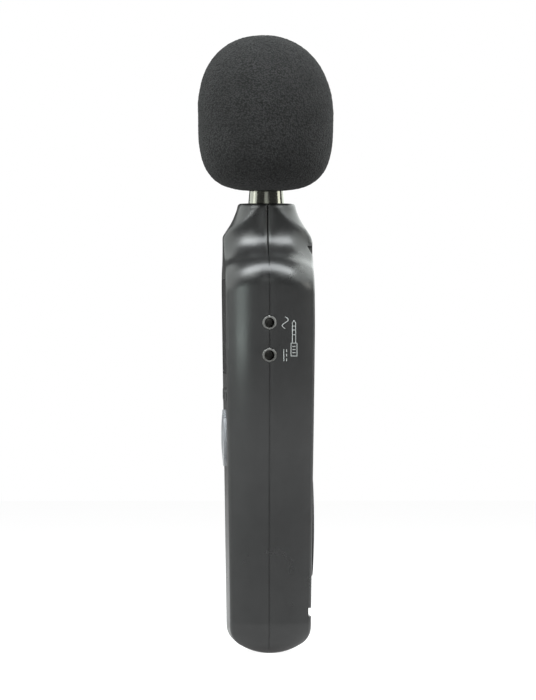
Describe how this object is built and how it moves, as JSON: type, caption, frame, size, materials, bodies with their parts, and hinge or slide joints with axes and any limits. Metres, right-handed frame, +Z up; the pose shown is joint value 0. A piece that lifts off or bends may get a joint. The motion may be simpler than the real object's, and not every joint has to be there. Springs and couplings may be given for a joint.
{
  "type": "sound level meter",
  "caption": "Hand-held sound level meter with a foam windscreen on a half-inch microphone, a display, domed keys, output jacks and a battery cover.",
  "frame": {"origin": "below the microphone's axis, level with the lowest point of the housing's rounded foot", "axes": "+Z up along the microphone's axis, -Y out of the display side, +X out of the side with the output jacks"},
  "size_m": [0.055, 0.0488, 0.2218],
  "materials": {
    "housing_plastic": "fine satin texture",
    "steel": "satin",
    "brass": "satin",
    "battery_jacket": "satin",
    "black_plastic": "satin",
    "lead_insulation": "satin",
    "rubber": "matte",
    "circuit_board": "solder mask",
    "window": "polished",
    "lcd": "grey-green reflective",
    "white_plastic": "satin",
    "blue_plastic": "satin",
    "aluminium": "satin",
    "nickel": "bright nickel plate",
    "key_plastic": "soft gloss",
    "foam": "open-cell foam, matte"
  },
  "bodies": {
    "housing": {"front_shell": "housing_plastic", "rear_shell": "housing_plastic", "case_screws": "steel", "tripod_nut": "brass", "battery_9v": "battery_jacket", "battery_snap": "black_plastic", "battery_leads": "lead_insulation", "key_mat": "rubber", "key_board": "circuit_board", "board_link_pins": "brass", "display_window": "window", "lcd_glass": "lcd", "lcd_backlight": "white_plastic", "lcd_holder": "black_plastic", "zebra_strip": "rubber", "main_board": "circuit_board", "board_screws": "steel", "controller_chip": "black_plastic", "amplifier_chips": "black_plastic", "capacitors": "aluminium", "clock_crystal": "steel", "calibration_trimmer": "blue_plastic", "ac_jack_sleeve": "nickel", "ac_jack_housing": "black_plastic", "ac_jack_contact": "nickel", "dc_jack_sleeve": "nickel", "dc_jack_housing": "black_plastic", "dc_jack_contact": "nickel", "microphone_tube": "nickel", "microphone_grid": "nickel", "microphone_capsule": "brass", "microphone_diaphragm": "nickel", "microphone_grommet": "rubber", "preamp_board": "circuit_board", "microphone_leads": "lead_insulation"},
    "windscreen": {"windscreen_foam": "foam"},
    "battery_cover": {"battery_cover": "housing_plastic", "battery_cover_pad": "rubber"},
    "trimmer_rotor": {"trimmer_rotor": "white_plastic"},
    "power_key": {"power_key": "key_plastic"},
    "level_up_key": {"level_up_key": "key_plastic"},
    "level_down_key": {"level_down_key": "key_plastic"},
    "max_hold_key": {"max_hold_key": "key_plastic"},
    "response_key": {"response_key": "key_plastic"},
    "hold_key": {"hold_key": "black_plastic"},
    "backlight_key": {"backlight_key": "black_plastic"}
  },
  "joints": [
    {"name": "windscreen_pull", "type": "slide", "parent": "housing", "child": "windscreen", "axis": [0, 0, 1], "range_m": [0, 0.045]},
    {"name": "battery_cover_swing", "type": "hinge", "parent": "housing", "child": "battery_cover", "pos_m": [0, 0.01595, 0.0716], "axis": [1, 0, 0], "range_deg": [0, 70]},
    {"name": "trimmer_turn", "type": "hinge", "parent": "housing", "child": "trimmer_rotor", "pos_m": [-0.012, 0.0016, 0.1285], "axis": [0, 1, 0], "range_deg": [-130, 130]},
    {"name": "power_key_press", "type": "slide", "parent": "housing", "child": "power_key", "axis": [0, 0.9999, 0.0123], "range_m": [0, 0.0008], "stiffness_N_per_m": 400, "springref_m": -0.001},
    {"name": "level_up_key_press", "type": "slide", "parent": "housing", "child": "level_up_key", "axis": [0, 0.9999, 0.0123], "range_m": [0, 0.0008], "stiffness_N_per_m": 400, "springref_m": -0.001},
    {"name": "level_down_key_press", "type": "slide", "parent": "housing", "child": "level_down_key", "axis": [0, 0.9999, 0.0123], "range_m": [0, 0.0008], "stiffness_N_per_m": 400, "springref_m": -0.001},
    {"name": "max_hold_key_press", "type": "slide", "parent": "housing", "child": "max_hold_key", "axis": [0, 0.9999, 0.0123], "range_m": [0, 0.0008], "stiffness_N_per_m": 400, "springref_m": -0.001},
    {"name": "response_key_press", "type": "slide", "parent": "housing", "child": "response_key", "axis": [0, 0.9999, 0.0123], "range_m": [0, 0.0008], "stiffness_N_per_m": 400, "springref_m": -0.001},
    {"name": "hold_key_press", "type": "slide", "parent": "housing", "child": "hold_key", "axis": [0, 0.9999, 0.0123], "range_m": [0, 0.0008], "stiffness_N_per_m": 400, "springref_m": -0.001},
    {"name": "backlight_key_press", "type": "slide", "parent": "housing", "child": "backlight_key", "axis": [0, 0.9999, 0.0123], "range_m": [0, 0.0008], "stiffness_N_per_m": 400, "springref_m": -0.001}
  ]
}
